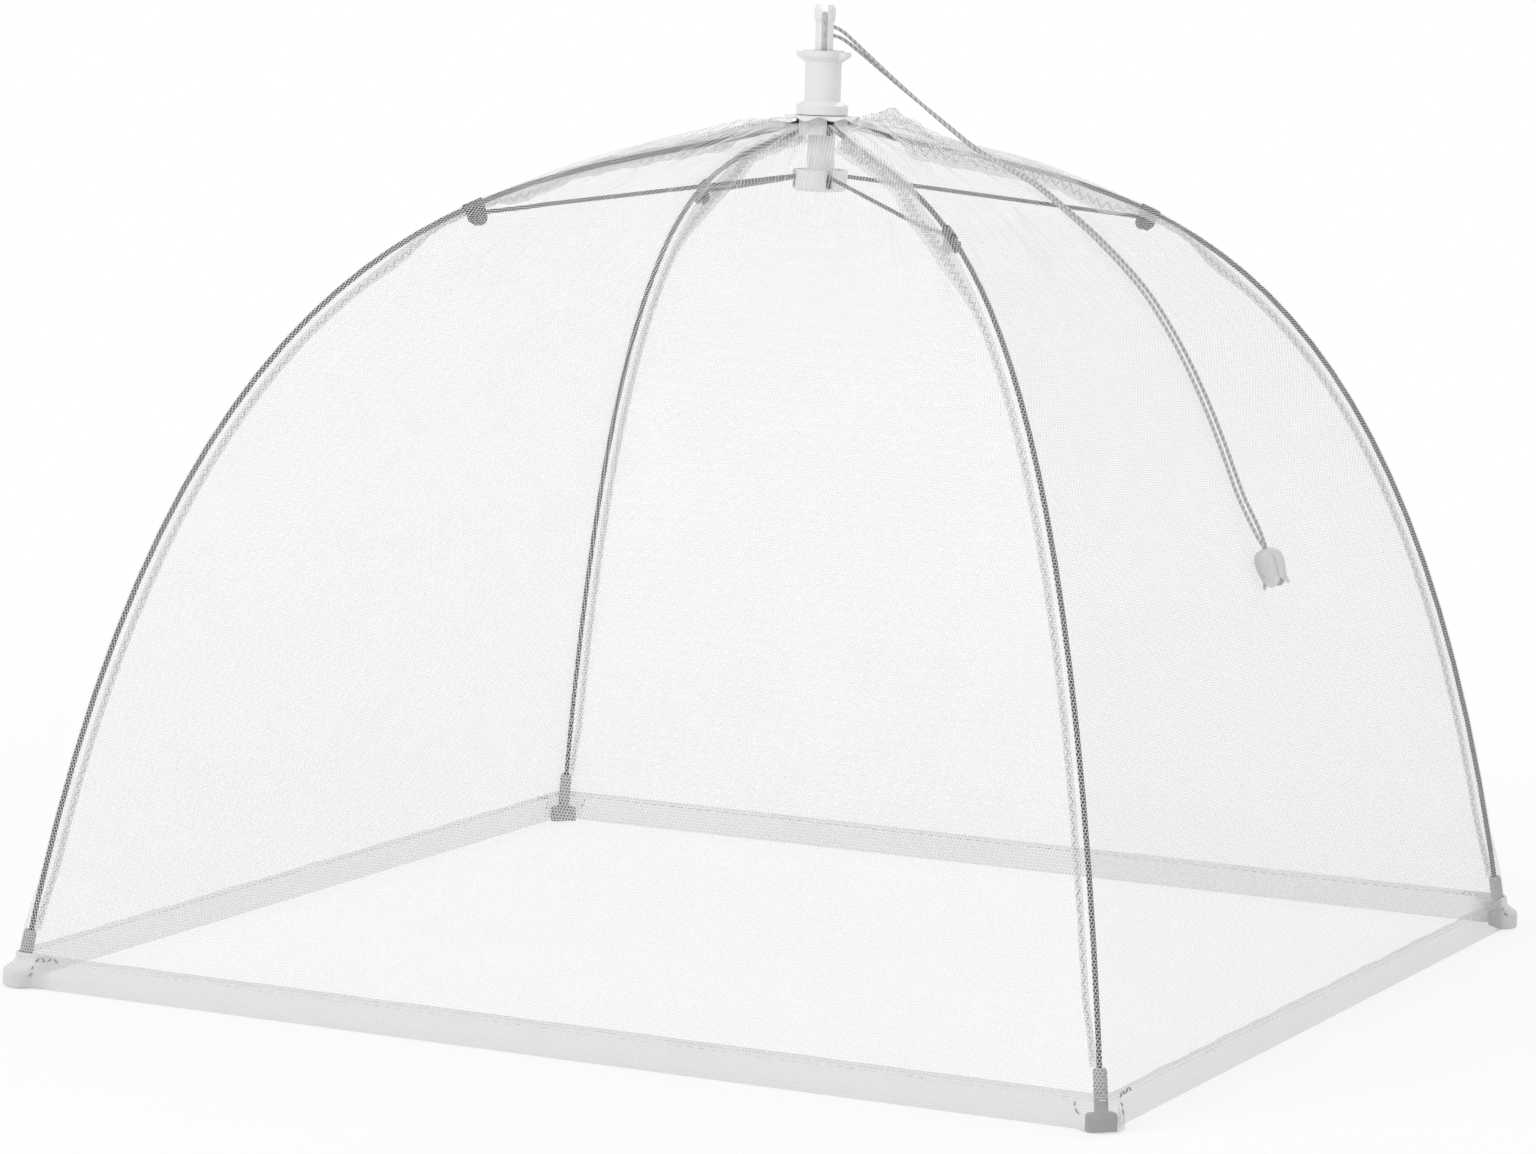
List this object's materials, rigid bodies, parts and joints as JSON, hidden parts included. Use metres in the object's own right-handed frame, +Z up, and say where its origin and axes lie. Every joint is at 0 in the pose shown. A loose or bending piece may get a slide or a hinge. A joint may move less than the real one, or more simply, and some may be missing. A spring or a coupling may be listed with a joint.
{
  "type": "pop-up mesh food cover",
  "caption": "Square pop-up food cover: netting sides on bent wire ribs that fold like an umbrella, with a latch stem and a pull cord on top.",
  "frame": {"origin": "middle of the square mouth, on the surface that the four feet stand on", "axes": "+Z up along the stem; the netting sides face +X, +Y, -X and -Y, and the ribs stand on the diagonals; the cord hangs on the +X side"},
  "size_m": [0.432, 0.432, 0.3602],
  "materials": {
    "rib_wire": "dark grey coated steel wire",
    "clip_metal": "dark grey pressed strip",
    "white_plastic": "pale moulded plastic, half gloss",
    "foot_plastic": "mid grey moulded plastic",
    "netting": "white polyester netting, open mesh",
    "hem_cloth": "white woven binding",
    "tape_cloth": "white seam binding",
    "cord_fibre": "thin white cord",
    "bead_plastic": "pale grey moulded bead"
  },
  "bodies": {
    "runner": {"runner": "white_plastic", "latch_stem": "white_plastic", "runner_ring": "rib_wire"},
    "crown": {"crown_cap": "white_plastic", "crown_notch_ring": "white_plastic", "crown_ring": "rib_wire", "crown_patch": "hem_cloth", "net_right": "netting", "net_back": "netting", "net_left": "netting", "net_front": "netting", "hem_right": "hem_cloth", "hem_back": "hem_cloth", "hem_left": "hem_cloth", "hem_front": "hem_cloth", "pull_cord_upper": "cord_fibre", "pull_cord_lower": "cord_fibre", "pull_bead": "bead_plastic", "pull_knot": "cord_fibre"},
    "rib_back_right": {"rib_back_right": "rib_wire", "rib_clip_back_right": "clip_metal", "rivet_back_right": "clip_metal", "rib_foot_back_right": "foot_plastic", "seam_tape_back_right": "tape_cloth"},
    "stretcher_back_right": {"stretcher_back_right": "rib_wire"},
    "rib_back_left": {"rib_back_left": "rib_wire", "rib_clip_back_left": "clip_metal", "rivet_back_left": "clip_metal", "rib_foot_back_left": "foot_plastic", "seam_tape_back_left": "tape_cloth"},
    "stretcher_back_left": {"stretcher_back_left": "rib_wire"},
    "rib_front_left": {"rib_front_left": "rib_wire", "rib_clip_front_left": "clip_metal", "rivet_front_left": "clip_metal", "rib_foot_front_left": "foot_plastic", "seam_tape_front_left": "tape_cloth"},
    "stretcher_front_left": {"stretcher_front_left": "rib_wire"},
    "rib_front_right": {"rib_front_right": "rib_wire", "rib_clip_front_right": "clip_metal", "rivet_front_right": "clip_metal", "rib_foot_front_right": "foot_plastic", "seam_tape_front_right": "tape_cloth"},
    "stretcher_front_right": {"stretcher_front_right": "rib_wire"}
  },
  "joints": [
    {"name": "crown_slide", "type": "slide", "parent": "runner", "child": "crown", "axis": [0, 0, 1], "range_m": [0, 0.1955]},
    {"name": "rib_hinge_back_right", "type": "hinge", "parent": "crown", "child": "rib_back_right", "pos_m": [0.00566, 0.00566, 0.3146], "axis": [-0.7071, 0.7071, 0], "range_deg": [0, 42.45]},
    {"name": "stretcher_hinge_back_right", "type": "hinge", "parent": "runner", "child": "stretcher_back_right", "pos_m": [0.00566, 0.00566, 0.295], "axis": [0.7071, -0.7071, 0], "range_deg": [0, 63.76]},
    {"name": "rib_hinge_back_left", "type": "hinge", "parent": "crown", "child": "rib_back_left", "pos_m": [-0.00566, 0.00566, 0.3146], "axis": [-0.7071, -0.7071, 0], "range_deg": [0, 42.45]},
    {"name": "stretcher_hinge_back_left", "type": "hinge", "parent": "runner", "child": "stretcher_back_left", "pos_m": [-0.00566, 0.00566, 0.295], "axis": [0.7071, 0.7071, 0], "range_deg": [0, 63.76]},
    {"name": "rib_hinge_front_left", "type": "hinge", "parent": "crown", "child": "rib_front_left", "pos_m": [-0.00566, -0.00566, 0.3146], "axis": [0.7071, -0.7071, 0], "range_deg": [0, 42.45]},
    {"name": "stretcher_hinge_front_left", "type": "hinge", "parent": "runner", "child": "stretcher_front_left", "pos_m": [-0.00566, -0.00566, 0.295], "axis": [-0.7071, 0.7071, 0], "range_deg": [0, 63.76]},
    {"name": "rib_hinge_front_right", "type": "hinge", "parent": "crown", "child": "rib_front_right", "pos_m": [0.00566, -0.00566, 0.3146], "axis": [0.7071, 0.7071, 0], "range_deg": [0, 42.45]},
    {"name": "stretcher_hinge_front_right", "type": "hinge", "parent": "runner", "child": "stretcher_front_right", "pos_m": [0.00566, -0.00566, 0.295], "axis": [-0.7071, -0.7071, 0], "range_deg": [0, 63.76]}
  ],
  "couplings": [
    {"joint": "rib_hinge_back_right", "follows": "crown_slide", "rad_per_m": 3.7894},
    {"joint": "stretcher_hinge_back_right", "follows": "crown_slide", "rad_per_m": 5.6922},
    {"joint": "rib_hinge_back_left", "follows": "crown_slide", "rad_per_m": 3.7894},
    {"joint": "stretcher_hinge_back_left", "follows": "crown_slide", "rad_per_m": 5.6922},
    {"joint": "rib_hinge_front_left", "follows": "crown_slide", "rad_per_m": 3.7894},
    {"joint": "stretcher_hinge_front_left", "follows": "crown_slide", "rad_per_m": 5.6922},
    {"joint": "rib_hinge_front_right", "follows": "crown_slide", "rad_per_m": 3.7894},
    {"joint": "stretcher_hinge_front_right", "follows": "crown_slide", "rad_per_m": 5.6922}
  ]
}
